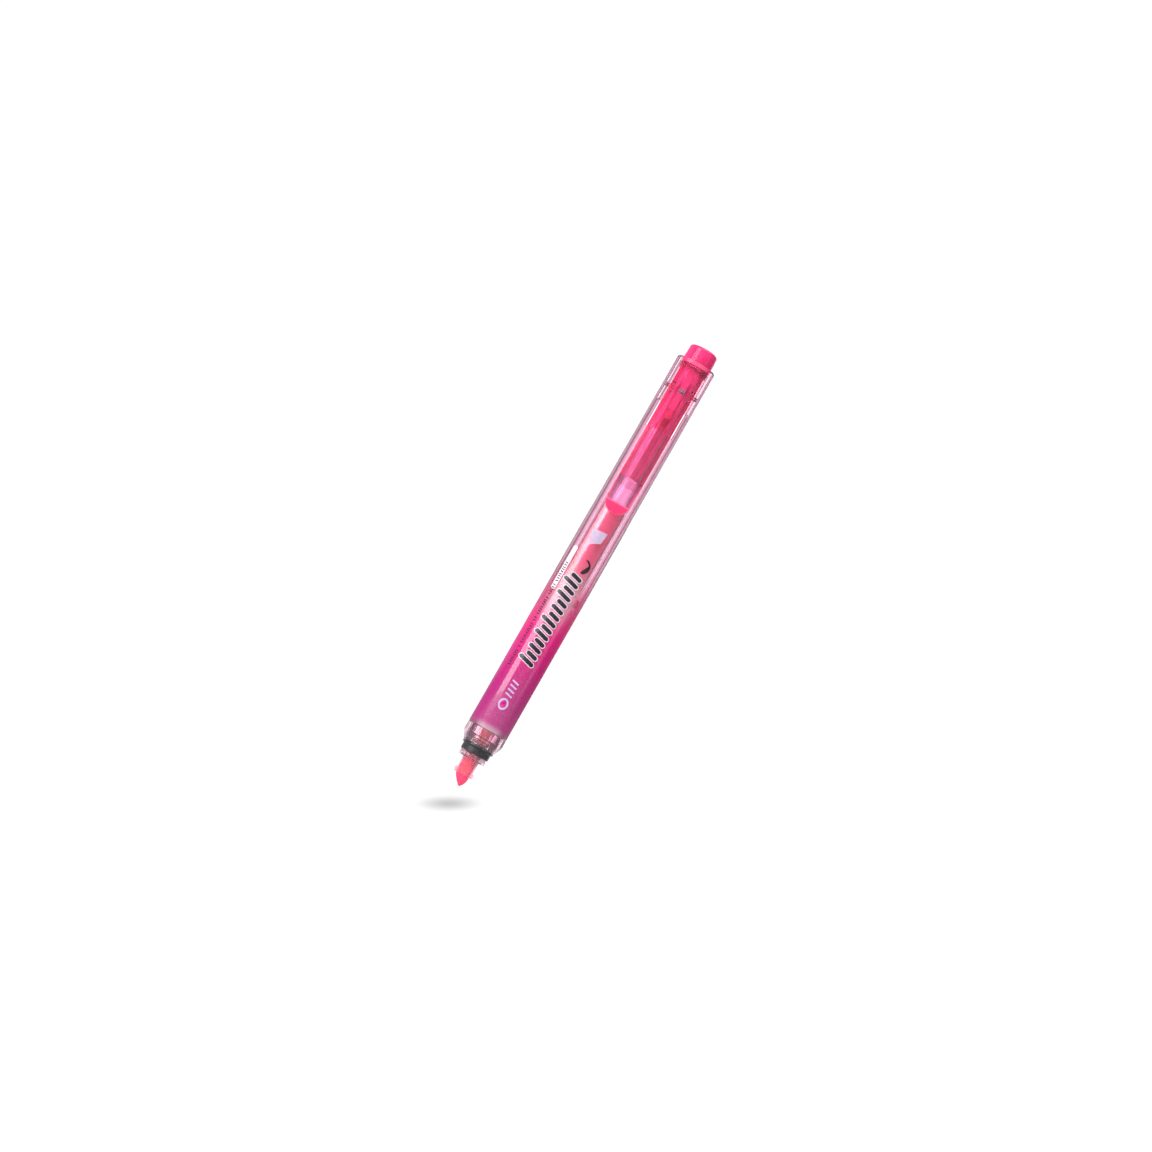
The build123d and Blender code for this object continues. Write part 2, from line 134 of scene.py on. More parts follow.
EMBLEM_OUTLINE = (
    (-2.35, 64.6), (2.0, 65.0), (1.6, 61.6), (0.2, 60.9), (-1.4, 59.9), (-0.9, 62.6), (-1.5, 63.4),
)

# Zones of the barrel's and the clip's materials, in metres: each is where a ramp starts and ends.
OUTER_SKIN = (0.0058, 0.0059)
FADE_LOW = (-0.0016, 0.0024)
FADE_HIGH = (0.0300, 0.0560)
INK_SHIFT = (0.004, 0.048)
PRINT_COVER = 0.94
BRIDGE_Z = (0.1190, 0.1194)
BRIDGE_X = (0.0043, 0.0048)
CLIP_SKIRT = (0.0024, 0.0028)
CLIP_FOOT = (0.0735, 0.0745)

# ---- colours, linear RGB -------------------------------------------------------------------------
CLEAR = (0.955, 0.935, 0.965)
SMOKE = (0.95, 0.84, 0.89)
CLIP_PINK = (0.86, 0.55, 0.74)
CLIP_DEEP = (0.80, 0.04, 0.18)
KNOCK_PINK = (0.92, 0.06, 0.27)
BUTTON_PINK = (0.66, 0.018, 0.13)
CORE_PINK = (0.92, 0.19, 0.33)
NIB_PINK = (0.90, 0.045, 0.17)
PRINT_TOP = (0.76, 0.0, 0.175)
PRINT_LOW = (0.365, 0.0, 0.15)
BLACK = (0.012, 0.012, 0.014)
# The next five colours are painted shade: what clear walls turn to as they face away from the eye.
EDGE_SHADE_PINK = (0.50, 0.20, 0.30)
EDGE_SHADE_GREY = (0.22, 0.145, 0.17)
SMOKE_MIDDLE_SHADE = (0.34, 0.19, 0.25)
SMOKE_EDGE_SHADE = (0.14, 0.09, 0.12)
TUBE_MIDDLE_SHADE = (0.86, 0.58, 0.68)
BRIDGE_PINK = (0.88, 0.07, 0.25)
SHELL_IOR = 1.16


# ---- small helpers -------------------------------------------------------------------------------
def new_object(name, mesh):
    """Links a mesh object and shades it smooth, except at edges sharper than SMOOTH_ANGLE."""
    obj = bpy.data.objects.new(name, mesh)
    bpy.context.scene.collection.objects.link(obj)
    mesh.polygons.foreach_set("use_smooth", [True] * len(mesh.polygons))
    mesh.set_sharp_from_angle(angle=math.radians(SMOOTH_ANGLE))
    return obj


def rounded(profile, radius=0.12, steps=4):
    """Replaces each corner of a closed outline by a small arc."""
    result = []
    count = len(profile)
    for index in range(count):
        corner = Vector(profile[index])
        before = Vector(profile[index - 1]) - corner
        after = Vector(profile[(index + 1) % count]) - corner
        reach = min(radius, before.length * 0.45, after.length * 0.45)
        first = corner + before.normalized() * reach
        last = corner + after.normalized() * reach
        for step in range(steps + 1):
            t = step / steps
            point = first * (1 - t) ** 2 + corner * 2 * t * (1 - t) + last * t ** 2
            result.append((point.x, point.y))
    return result


def lathe(name, profile, segments=SEGMENTS):
    """A solid turned about Z from a closed outline of (radius, height) in millimetres."""
    mesh = bpy.data.meshes.new(name)
    shape = bmesh.new()
    rings = []
    for number in range(segments):
        angle = 2 * math.pi * number / segments
        ring = [
            shape.verts.new((r * MM * math.cos(angle), r * MM * math.sin(angle), z * MM))
            for r, z in profile
        ]
        rings.append(ring)
    count = len(profile)
    for number in range(segments):
        here, there = rings[number], rings[(number + 1) % segments]
        for index in range(count):
            follow = (index + 1) % count
            shape.faces.new((here[index], there[index], there[follow], here[follow]))
    bmesh.ops.remove_doubles(shape, verts=shape.verts, dist=SAME_POINT)
    bmesh.ops.recalc_face_normals(shape, faces=shape.faces)
    shape.to_mesh(mesh)
    shape.free()
    return new_object(name, mesh)


def box_object(name, x, y, z, bevel=0.0):
    """A box from low and high values in millimetres, with rounded edges."""
    mesh = bpy.data.meshes.new(name)
    shape = bmesh.new()
    bmesh.ops.create_cube(shape, size=1.0)
    for vert in shape.verts:
        vert.co = Vector((
            (x[0] if vert.co.x < 0 else x[1]) * MM,
            (y[0] if vert.co.y < 0 else y[1]) * MM,
            (z[0] if vert.co.z < 0 else z[1]) * MM,
        ))
    if bevel:
        bmesh.ops.bevel(shape, geom=shape.edges[:], offset=bevel * MM, segments=4,
                        profile=0.5, affect="EDGES", clamp_overlap=True)
    shape.to_mesh(mesh)
    shape.free()
    return new_object(name, mesh)


def boolean(obj, tool, operation):
    """Applies a boolean with another object and removes that object."""
    modifier = obj.modifiers.new("boolean", "BOOLEAN")
    modifier.object = tool
    modifier.operation = operation
    modifier.solver = "EXACT"
    graph = bpy.context.evaluated_depsgraph_get()
    mesh = bpy.data.meshes.new_from_object(obj.evaluated_get(graph))
    obj.modifiers.clear()
    old = obj.data
    obj.data = mesh
    bpy.data.meshes.remove(old)
    bpy.data.objects.remove(tool)
    mesh.polygons.foreach_set("use_smooth", [True] * len(mesh.polygons))
    mesh.set_sharp_from_angle(angle=math.radians(SMOOTH_ANGLE))
    return obj


def smooth_node(name):
    """Shades a carried-over CAD node smooth without moving its vertices."""
    obj = nodes[name]
    weld = obj.modifiers.new("weld", "WELD")
    weld.merge_threshold = SAME_POINT
    obj.data.polygons.foreach_set("use_smooth", [True] * len(obj.data.polygons))
    obj.data.set_sharp_from_angle(angle=math.radians(SMOOTH_ANGLE))
    return obj


# ---- node helpers ----------------------------------------------------------------------------------
class Tree:
    """Short calls for building a material's nodes."""

    def __init__(self, name):
        self.material = bpy.data.materials.new(name)
        self.material.use_nodes = True
        self.nodes = self.material.node_tree.nodes
        self.links = self.material.node_tree.links
        self.shader = self.nodes["Principled BSDF"]
        self.output = self.nodes["Material Output"]

    def add(self, kind, **values):
        node = self.nodes.new(kind)
        for key, value in values.items():
            setattr(node, key, value)
        return node

    def link(self, source, target):
        self.links.new(source, target)

    def feed(self, socket, value):
        if isinstance(value, bpy.types.NodeSocket):
            self.link(value, socket)
        else:
            socket.default_value = value

    def math(self, operation, first, second=0.0, clamp=False):
        node = self.add("ShaderNodeMath", operation=operation, use_clamp=clamp)
        self.feed(node.inputs[0], first)
        self.feed(node.inputs[1], second)
        return node.outputs[0]

    def ramp(self, value, low, high, out_low=0.0, out_high=1.0, smooth=True):
        node = self.add("ShaderNodeMapRange")
        node.interpolation_type = "SMOOTHSTEP" if smooth else "LINEAR"
        self.feed(node.inputs["Value"], value)
        node.inputs["From Min"].default_value = low
        node.inputs["From Max"].default_value = high
        node.inputs["To Min"].default_value = out_low
        node.inputs["To Max"].default_value = out_high
        return node.outputs["Result"]

    def noise(self, scale, detail=2.0, stretch=(1, 1, 1), roughness=0.5):
        mapping = self.add("ShaderNodeMapping")
        mapping.inputs["Scale"].default_value = stretch
        self.link(self.position(), mapping.inputs["Vector"])
        node = self.add("ShaderNodeTexNoise")
        node.inputs["Scale"].default_value = scale
        node.inputs["Detail"].default_value = detail
        node.inputs["Roughness"].default_value = roughness
        self.link(mapping.outputs[0], node.inputs["Vector"])
        return node.outputs["Fac"]

    def position(self):
        """Object coordinates in metres."""
        if not hasattr(self, "_position"):
            self._position = self.add("ShaderNodeTexCoord").outputs["Object"]
        return self._position

    def axes(self):
        if not hasattr(self, "_axes"):
            node = self.add("ShaderNodeSeparateXYZ")
            self.link(self.position(), node.inputs[0])
            self._axes = node.outputs
        return self._axes

    def radius(self):
        """Distance from the pen's axis, in metres."""
        x, y = self.axes()[0], self.axes()[1]
        squares = self.math("ADD", self.math("MULTIPLY", x, x), self.math("MULTIPLY", y, y))
        return self.math("SQRT", squares)

    def mix(self, factor, first, second):
        node = self.add("ShaderNodeMix", data_type="RGBA")
        self.feed(node.inputs[0], factor)
        for socket, value in ((node.inputs[6], first), (node.inputs[7], second)):
            self.feed(socket, value if isinstance(value, bpy.types.NodeSocket) else (*value, 1.0))
        return node.outputs[2]

    def bump(self, height, distance, strength=1.0):
        node = self.add("ShaderNodeBump")
        node.inputs["Strength"].default_value = strength
        node.inputs["Distance"].default_value = distance
        self.link(height, node.inputs["Height"])
        self.link(node.outputs[0], self.shader.inputs["Normal"])

    def set(self, **values):
        for key, value in values.items():
            socket = self.shader.inputs[key.replace("_", " ")]
            if isinstance(value, bpy.types.NodeSocket):
                self.link(value, socket)
            elif isinstance(value, tuple) and len(value) == 3:
                socket.default_value = (*value, 1.0)
            else:
                socket.default_value = value

    def lamps_pass(self, tint):
        """Lets lamp light through this see-through piece, tinted, in place of a black shadow."""
        path = self.add("ShaderNodeLightPath")
        clear = self.add("ShaderNodeBsdfTransparent")
        self.feed(clear.inputs["Color"], tint if isinstance(tint, bpy.types.NodeSocket) else (*tint, 1.0))
        mix = self.add("ShaderNodeMixShader")
        self.link(path.outputs["Is Shadow Ray"], mix.inputs[0])
        self.link(self.shader.outputs[0], mix.inputs[1])
        self.link(clear.outputs[0], mix.inputs[2])
        self.link(mix.outputs[0], self.output.inputs["Surface"])


def assign(obj, material):
    obj.data.materials.clear()
    obj.data.materials.append(material)
    for polygon in obj.data.polygons:
        polygon.material_index = 0
    return obj


# ---- materials ----------------------------------------------------------------------------------------
def painted_edge_shade(tree, tint, middle_shade, edge):
    """Painted shade on a moulded wall: its colour deepens as the wall turns away from the eye."""
    first = tree.mix(edge_factor(tree, 0.04, 0.30), tint, middle_shade)
    return tree.mix(edge_factor(tree, 0.30, 0.55), first, edge)


def edge_factor(tree, start, end):
    """0 where a surface faces the eye, 1 where it is seen along its edge."""
    layer = tree.add("ShaderNodeLayerWeight")
    layer.inputs["Blend"].default_value = 0.5
    return tree.ramp(layer.outputs["Facing"], start, end)


def clear_shell(tree, colour, roughness, bend=SHELL_IOR, skin=1.0, sheen=0.05):
    """Sockets that every clear moulded piece shares: little bending, and a glossy skin."""
    marks = tree.noise(2600.0, 3.0, (1, 1, 0.25))
    flow = tree.noise(260.0, 2.0, (1, 1, 0.12))
    tree.set(
        Base_Color=colour,
        Roughness=tree.ramp(marks, 0.35, 0.75, roughness * 0.6, roughness * 1.9),
        IOR=bend,
        Coat_Weight=skin,
        Coat_Roughness=sheen,
        Coat_IOR=1.5,
    )
    tree.bump(flow, 0.00002, 0.25)


def clear_plastic(name, tint=CLEAR, middle_shade=EDGE_SHADE_PINK, edge=EDGE_SHADE_GREY, roughness=0.04,
                  shadow_tint=(0.9, 0.88, 0.92), bend=SHELL_IOR, skin=1.0):
    """Moulded clear styrene with painted shade, greyer along its edges, and with flow waviness and fine
    handling marks.
    """
    tree = Tree(name)
    clear_shell(tree, painted_edge_shade(tree, tint, middle_shade, edge), roughness, bend, skin)
    tree.set(Transmission_Weight=1.0)
    tree.lamps_pass(shadow_tint)
    return tree.material


def holder_plastic():
    """Clear holder full of ink's colour, with painted shade where its round sides turn away from the eye:
    deeper pink there and less see-through.
    """
    tree = Tree("holder_clear")
    # Painted shade: the holder's sides deepen and lose transparency as they turn away from the eye.
    turn = edge_factor(tree, 0.04, 0.45)
    clear_shell(tree, tree.mix(turn, (1.0, 0.80, 0.86), (0.86, 0.30, 0.42)), 0.04, 1.05, 0.6)
    tree.set(Transmission_Weight=tree.ramp(turn, 0.0, 1.0, 1.0, 0.8))
    tree.lamps_pass((0.95, 0.8, 0.85))
    return tree.material


def barrel_plastic():
    """Clear plastic with a see-through magenta print that fades in and out along the outside."""
    tree = Tree("barrel_clear_printed")
    z = tree.axes()[2]
    grain = tree.noise(5200.0, 1.0)
    outside = tree.ramp(tree.radius(), *OUTER_SKIN)
    fade_low = tree.ramp(z, *FADE_LOW)
    fade_high = tree.ramp(z, *FADE_HIGH, 1.0, 0.0)
    speckle = tree.ramp(grain, 0.3, 0.7, 0.94, 1.0)
    cover = tree.math("MULTIPLY", tree.math("MULTIPLY", fade_low, fade_high), speckle)
    cover = tree.math("MULTIPLY", cover, outside)
    ink_colour = tree.mix(tree.ramp(z, *INK_SHIFT), PRINT_LOW, PRINT_TOP)
    # Painted shade: the outside greys towards its edges as they turn away from the eye.
    clear = tree.mix(outside, CLEAR, painted_edge_shade(tree, CLEAR, EDGE_SHADE_PINK, EDGE_SHADE_GREY))
    see = tree.math("SUBTRACT", 1.0, tree.math("MULTIPLY", cover, PRINT_COVER))
    across = tree.math("ABSOLUTE", tree.axes()[0])
    bridge = tree.math("MULTIPLY", tree.ramp(z, *BRIDGE_Z), tree.ramp(across, *BRIDGE_X, 1.0, 0.0))
    clear = tree.mix(tree.math("MULTIPLY", bridge, 0.9), clear, BRIDGE_PINK)
    see = tree.math("MULTIPLY", see, tree.math("SUBTRACT", 1.0, tree.math("MULTIPLY", bridge, 0.6)))
    skin = tree.ramp(bridge, 0.0, 1.0, 1.0, 0.25)
    clear_shell(tree, tree.mix(cover, clear, ink_colour), 0.05, SHELL_IOR, skin)
    tree.set(Transmission_Weight=see)
    tree.lamps_pass(tree.mix(cover, (0.9, 0.88, 0.92), (0.86, 0.18, 0.42)))
    return tree.material


def clip_plastic():
    """Pink see-through clip: pale where only its thin face is seen, deep in the skirts and the foot."""
    tree = Tree("clip_pink_clear")
    x, _, z = tree.axes()
    side = tree.ramp(tree.math("ABSOLUTE", x), *CLIP_SKIRT)
    foot = tree.ramp(z, *CLIP_FOOT, 1.0, 0.0)
    deep = tree.math("MAXIMUM", tree.math("MULTIPLY", side, 0.55), foot)
    colour = tree.mix(deep, CLIP_PINK, CLIP_DEEP)
    clear_shell(tree, colour, 0.05, sheen=0.28)
    tree.set(Transmission_Weight=tree.ramp(foot, 0.0, 1.0, 1.0, 0.45))
    tree.lamps_pass((0.95, 0.5, 0.7))
    return tree.material


def solid_plastic(name, colour, deep, roughness=0.22, gloss=0.5):
    """Coloured moulded plastic with flow streaks and a fine spark-eroded grain."""
    tree = Tree(name)
    streaks = tree.noise(420.0, 3.0, (1, 1, 0.08))
    grain = tree.noise(9000.0, 2.0)
    marks = tree.noise(1500.0, 4.0, (1, 1, 0.3))
    tree.set(
        Base_Color=tree.mix(tree.ramp(streaks, 0.25, 0.8), colour, deep),
        Roughness=tree.ramp(marks, 0.3, 0.8, roughness * 0.7, roughness * 1.6),
        Specular_IOR_Level=gloss,
        Coat_Weight=gloss * 0.5,
        Coat_Roughness=0.08,
        Subsurface_Weight=0.25,
        Subsurface_Scale=0.0015,
    )
    tree.shader.inputs["Subsurface Radius"].default_value = (1.0, 0.25, 0.4)
    tree.bump(grain, 0.000006, 0.3)
    return tree.material


def rubber(name):
    tree = Tree(name)
    grain = tree.noise(7000.0, 4.0)
    dust = tree.noise(1100.0, 3.0)
    tree.set(
        Base_Color=tree.mix(tree.ramp(dust, 0.45, 0.8), BLACK, (0.035, 0.034, 0.038)),
        Roughness=tree.ramp(grain, 0.3, 0.7, 0.32, 0.5),
    )
    tree.bump(grain, 0.00001, 0.4)
    return tree.material


def felt(name, colour, deep, scale=6500.0):
    """Bonded fibre: short fibres along the axis, soaked and a little shiny."""
    tree = Tree(name)
    fibres = tree.noise(scale, 5.0, (1, 1, 0.16), 0.65)
    patches = tree.noise(900.0, 3.0)
    blend = tree.math("ADD", tree.math("MULTIPLY", fibres, 0.6), tree.math("MULTIPLY", patches, 0.4))
    tree.set(
        Base_Color=tree.mix(tree.ramp(blend, 0.35, 0.65), colour, deep),
        Roughness=tree.ramp(fibres, 0.3, 0.7, 0.5, 0.8),
        Subsurface_Weight=0.3,
        Subsurface_Scale=0.001,
        Sheen_Weight=0.25,
    )
    tree.shader.inputs["Subsurface Radius"].default_value = (1.0, 0.2, 0.3)
    tree.bump(fibres, 0.00004, 0.6)
    return tree.material


def steel(name):
    tree = Tree(name)
    draw = tree.noise(4000.0, 3.0, (0.2, 1, 1))
    tree.set(
        Base_Color=tree.mix(draw, (0.62, 0.61, 0.62), (0.48, 0.47, 0.49)),
        Roughness=tree.ramp(draw, 0.3, 0.7, 0.18, 0.34),
        Metallic=1.0,
    )
    return tree.material


def ink(name, colour, second, roughness=0.35):
    """Screen-printed ink with a slightly uneven film."""
    tree = Tree(name)
    film = tree.noise(3800.0, 3.0)
    cloud = tree.noise(700.0, 2.0)
    tree.set(
        Base_Color=tree.mix(tree.ramp(cloud, 0.35, 0.65), colour, second),
        Roughness=tree.ramp(film, 0.3, 0.7, roughness * 0.75, roughness * 1.4),
    )
    tree.bump(film, 0.000004, 0.4)
    return tree.material


INK_MATERIAL = ink("ink_black", (0.010, 0.008, 0.010), (0.022, 0.016, 0.020), 0.3)
SILVER_MATERIAL = ink("ink_silver", (0.50, 0.40, 0.50), (0.64, 0.54, 0.63), 0.35)
WHITE_MATERIAL = ink("ink_white", (0.74, 0.64, 0.70), (0.82, 0.74, 0.80), 0.4)
MAGENTA_INK_MATERIAL = ink("ink_magenta", PRINT_LOW, (0.62, 0.05, 0.26), 0.25)
LILAC_MATERIAL = ink("ink_sign", (0.42, 0.36, 0.56), (0.56, 0.42, 0.60), 0.35)
EMBLEM_MATERIAL = ink("ink_lilac", (0.40, 0.36, 0.50), (0.62, 0.36, 0.50), 0.35)
# Clear pieces: the second and third colours of each are painted shade, along walls turning away from the
# eye.
COLLAR_MATERIAL = clear_plastic("collar_clear", (0.98, 0.84, 0.90), (0.92, 0.60, 0.72),
                                (0.80, 0.50, 0.60), bend=1.03, skin=0.1)
LEAF_MATERIAL = clear_plastic("leaf_clear", (0.99, 0.93, 0.95), (0.94, 0.80, 0.84),
                              (0.85, 0.66, 0.72), bend=1.04, skin=0.2)
TUBE_MATERIAL = clear_plastic("tube_clear", (0.88, 0.62, 0.72), TUBE_MIDDLE_SHADE,
                              (0.72, 0.48, 0.60), bend=1.08, skin=0.5)
NOSE_MATERIAL = clear_plastic("nose_clear", (0.97, 0.92, 0.95), (0.62, 0.40, 0.49),
                              (0.30, 0.20, 0.24))
HOLDER_MATERIAL = holder_plastic()
SLEEVE_MATERIAL = clear_plastic("sleeve_smoked", (0.97, 0.88, 0.92), (0.74, 0.52, 0.62),
                                (0.50, 0.36, 0.42), 0.06, (0.7, 0.62, 0.68), bend=1.05, skin=0.4)
SMOKE_MATERIAL = clear_plastic("smoked_plastic", SMOKE, SMOKE_MIDDLE_SHADE, SMOKE_EDGE_SHADE, 0.08, (0.6, 0.55, 0.6))
CLIP_MATERIAL = clip_plastic()
KNOCK_MATERIAL = solid_plastic("knock_pink", KNOCK_PINK, (0.86, 0.045, 0.22))
BUTTON_MATERIAL = solid_plastic("button_pink", BUTTON_PINK, (0.76, 0.045, 0.19), 0.28, gloss=0.25)
RUBBER_MATERIAL = rubber("black_rubber")
NIB_MATERIAL = felt("nib_felt", NIB_PINK, (0.84, 0.03, 0.10))
CORE_MATERIAL = felt("ink_fibre", CORE_PINK, (0.88, 0.13, 0.22), 3000.0)
STEEL_MATERIAL = steel("spring_steel")


# ---- pieces ---------------------------------------------------------------------------------------------
def add_barrel():
    barrel = lathe("barrel_shell", rounded(BARREL_OUTLINE, BARREL_ROUND))
    for side in (-1, 1):
        low, high = sorted((side * SLOT_HALF_X, side * CHEEK_OUTER_X))
        cheek = box_object("cheek", (low, high), (CHEEK_FRONT_Y, CHEEK_BACK_Y),
                           (CHEEK_BOTTOM, CHEEK_TOP), CHEEK_ROUND)
        boolean(barrel, cheek, "UNION")
    slot = box_object("slot", (-SLOT_HALF_X, SLOT_HALF_X), SLOT_Y, (SLOT_BOTTOM, SLOT_TOP), SLOT_ROUND)
    boolean(barrel, slot, "DIFFERENCE")
    assign(barrel, barrel_plastic())
    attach(barrel, "housing")
    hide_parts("barrel")


def add_nose():
    nose = lathe("nose_cone_shell", rounded(NOSE_OUTLINE, NOSE_ROUND))
    assign(nose, NOSE_MATERIAL)
    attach(nose, "housing")
    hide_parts("nose_cone")


def add_front_seal():
    seal = lathe("front_seal_band", rounded(SEAL_OUTLINE, SEAL_ROUND))
    assign(seal, RUBBER_MATERIAL)
    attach(seal, "housing")
    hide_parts("front_seal")


def add_tubes():
    sleeve = lathe("seal_sleeve_tube", rounded(SLEEVE_OUTLINE, SLEEVE_ROUND))
    assign(sleeve, SLEEVE_MATERIAL)
    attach(sleeve, "housing")
    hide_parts("seal_sleeve")
    ink_tube = lathe("ink_tube_shell", rounded(INK_TUBE_OUTLINE, INK_TUBE_ROUND))
    assign(ink_tube, TUBE_MATERIAL)
    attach(ink_tube, "cartridge")
    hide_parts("ink_tube")


def on_barrel(x, z, lift):
    """A point of the print, in metres, from its place across and along the barrel in millimetres."""
    radius = BARREL_R + lift
    return Vector((x * MM, -math.sqrt(radius * radius - x * x) * MM, z * MM))


def capsule(start, end, radius, steps=7):
    """Outline of a round-ended stroke in the plane of the print."""
    start, end = Vector(start), Vector(end)
    along = math.atan2((end - start).y, (end - start).x)
    points = []
    for centre, turn in ((end, -math.pi / 2), (start, math.pi / 2)):
        for step in range(steps + 1):
            angle = along + turn + math.pi * step / steps
            points.append((centre.x + radius * math.cos(angle), centre.y + radius * math.sin(angle)))
    return points


def print_piece(name, outlines, lift, material):
    """Thin ink patches that lie on the barrel's curved front."""
    mesh = bpy.data.meshes.new(name)
    shape = bmesh.new()
    for outline in outlines:
        shape.faces.new([shape.verts.new((x, 0, z)) for x, z in outline])
    bmesh.ops.triangulate(shape, faces=shape.faces[:])
    for _ in range(6):
        long_edges = [edge for edge in shape.edges
                      if abs(edge.verts[0].co.x - edge.verts[1].co.x) > PRINT_FACET]
        if not long_edges:
            break
        bmesh.ops.subdivide_edges(shape, edges=long_edges, cuts=1)
        bmesh.ops.triangulate(shape, faces=shape.faces[:])
    for vert in shape.verts:
        vert.co = on_barrel(vert.co.x, vert.co.z, lift)
    bmesh.ops.recalc_face_normals(shape, faces=shape.faces)
    if sum(face.normal.y * face.calc_area() for face in shape.faces) > 0:
        bmesh.ops.reverse_faces(shape, faces=shape.faces)
    shape.to_mesh(mesh)
    shape.free()
    piece = new_object(name, mesh)
    assign(piece, material)
    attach(piece, "housing")
    return piece


def arc(centre_x, centre_z, radius, start, sweep):
    """Points on a circle, from a start angle in degrees through a sweep."""
    points = []
    for step in range(SWOOSH_STEPS + 1):
        angle = math.radians(start + sweep * step / SWOOSH_STEPS)
        points.append((centre_x + radius * math.cos(angle), centre_z + radius * math.sin(angle)))
    return points


def oval(half_x, half_z):
    """Points on an oval round the ring's centre."""
    points = []
    for step in range(SIGN_STEPS):
        angle = 2 * math.pi * step / SIGN_STEPS
        points.append((SIGN_CENTRE[0] + half_x * math.cos(angle), SIGN_CENTRE[1] + half_z * math.sin(angle)))
    return points


def add_bars():
    bars, outlines = [], []
    for number in range(BAR_COUNT):
        low_z = BAR_FIRST_Z + number * BAR_PITCH
        height = BAR_HEIGHTS[number % len(BAR_HEIGHTS)]
        ends = (BAR_FOOT_X, low_z), (BAR_FOOT_X - height, low_z + height * BAR_SLANT)
        bars.append(capsule(*ends, BAR_R))
        outlines.append(capsule(*ends, BAR_R + BAR_OUTLINE))
    print_piece("print_bars_outline", outlines, PRINT_LIFT, SILVER_MATERIAL)
    print_piece("print_bars", bars, 3 * PRINT_LIFT, INK_MATERIAL)


def add_swoosh():
    swoosh = arc(*SWOOSH_OUTER, -70, SWOOSH_SWEEP) + arc(*SWOOSH_INNER, 80, -SWOOSH_SWEEP)
    print_piece("print_swoosh", [swoosh], 3 * PRINT_LIFT, INK_MATERIAL)


def add_pill():
    pill = capsule((PILL_X, PILL_Z[0]), (PILL_X, PILL_Z[1]), PILL_R)
    print_piece("print_pill", [pill], PRINT_LIFT, WHITE_MATERIAL)


def add_ticks():
    ticks = []
    place = TICK_FIRST_Z
    for count in TICK_GROUPS:
        for number in range(count):
            lean = 0.12 if number % 3 else -0.1
            ticks.append(capsule((TICK_X[0], place), (TICK_X[1], place + lean), TICK_R, 4))
            place += TICK_PITCH
        place += TICK_GAP
    print_piece("print_ticks", ticks, 3 * PRINT_LIFT, INK_MATERIAL)


def add_sign():
    """A ring with a row of strokes above it; the ring's middle is a patch in the print's colour."""
    signs = [oval(*SIGN_OUTER)]
    for number in range(SIGN_STROKES):
        low = SIGN_STROKE_Z + SIGN_STROKE_PITCH * number
        ends = (SIGN_STROKE_X[0], low), (SIGN_STROKE_X[1], low + SIGN_STROKE_RISE)
        signs.append(capsule(*ends, SIGN_STROKE_R))
    print_piece("print_sign", signs, PRINT_LIFT, LILAC_MATERIAL)
    inner = oval(*SIGN_INNER)
    print_piece("print_sign_centre", [inner], 2 * PRINT_LIFT, MAGENTA_INK_MATERIAL)


def add_emblem():
    print_piece("print_emblem", [EMBLEM_OUTLINE], PRINT_LIFT, EMBLEM_MATERIAL)


def finish_cad_nodes():
    """Materials for the design's own pieces that keep their shape."""
    looks = {
        NOSE_MATERIAL: ("mouth_ring",),
        TUBE_MATERIAL: ("ink_tube_end_plug",),
        COLLAR_MATERIAL: ("rear_collar", "latch_leaf", "clip_pin"),
        LEAF_MATERIAL: ("shutter_leaf_front", "shutter_leaf_back"),
        HOLDER_MATERIAL: ("nib_holder",),
        SMOKE_MATERIAL: ("shutter_carrier",),
        CLIP_MATERIAL: ("clip",),
        KNOCK_MATERIAL: ("knock_body", "spring_collar"),
        BUTTON_MATERIAL: ("knock_button",),
        RUBBER_MATERIAL: ("holder_oring",),
        NIB_MATERIAL: ("nib",),
        CORE_MATERIAL: ("ink_core",),
        STEEL_MATERIAL: ("return_spring", "clip_spring", "shutter_pin_front", "shutter_pin_back"),
    }
    for material, names in looks.items():
        for name in names:
            assign(smooth_node(name), material)


add_barrel()
add_nose()
add_front_seal()
add_tubes()
add_bars()
add_swoosh()
add_pill()
add_ticks()
add_sign()
add_emblem()
finish_cad_nodes()


# ---- stage: floor, light, world, camera -----------------------------------------------------------------
TILT = math.radians(29.77)
ELEVATION = math.radians(-5.0)
LENS = 85.0
DISTANCE = 0.7764
AIM = Vector((0.0, 0.0, 0.0508))
FLOOR_DROP = 0.016
FLOOR_HALF = 3.0
WHITE_GLOW = 1.05
SHADE_CENTRE = Vector((0.0008, 0.0, -0.0232))
SHADE_HALF_LONG = 0.0120
SHADE_HALF_SHORT = 0.0030
SHADE_STRENGTH = 0.55


def add_floor():
    mesh = bpy.data.meshes.new("floor")
    low = cad_bounds[0].z - FLOOR_DROP
    corners = [(FLOOR_HALF * a, FLOOR_HALF * b, low) for a, b in ((-1, -1), (1, -1), (1, 1), (-1, 1))]
    mesh.from_pydata(corners, [], [(0, 1, 2, 3)])
    floor = new_object("floor", mesh)
    tree = Tree("floor_white")
    grain = tree.noise(900.0, 3.0)
    tree.set(Base_Color=tree.mix(grain, (0.93, 0.93, 0.935), (0.9, 0.9, 0.905)), Roughness=0.6)
    path = tree.add("ShaderNodeLightPath")
    glow = tree.add("ShaderNodeEmission")
    glow.inputs["Strength"].default_value = WHITE_GLOW
    mix = tree.add("ShaderNodeMixShader")
    tree.link(path.outputs["Is Camera Ray"], mix.inputs[0])
    tree.link(tree.shader.outputs[0], mix.inputs[1])
    tree.link(glow.outputs[0], mix.inputs[2])
    tree.link(mix.outputs[0], tree.output.inputs["Surface"])
    assign(floor, tree.material)


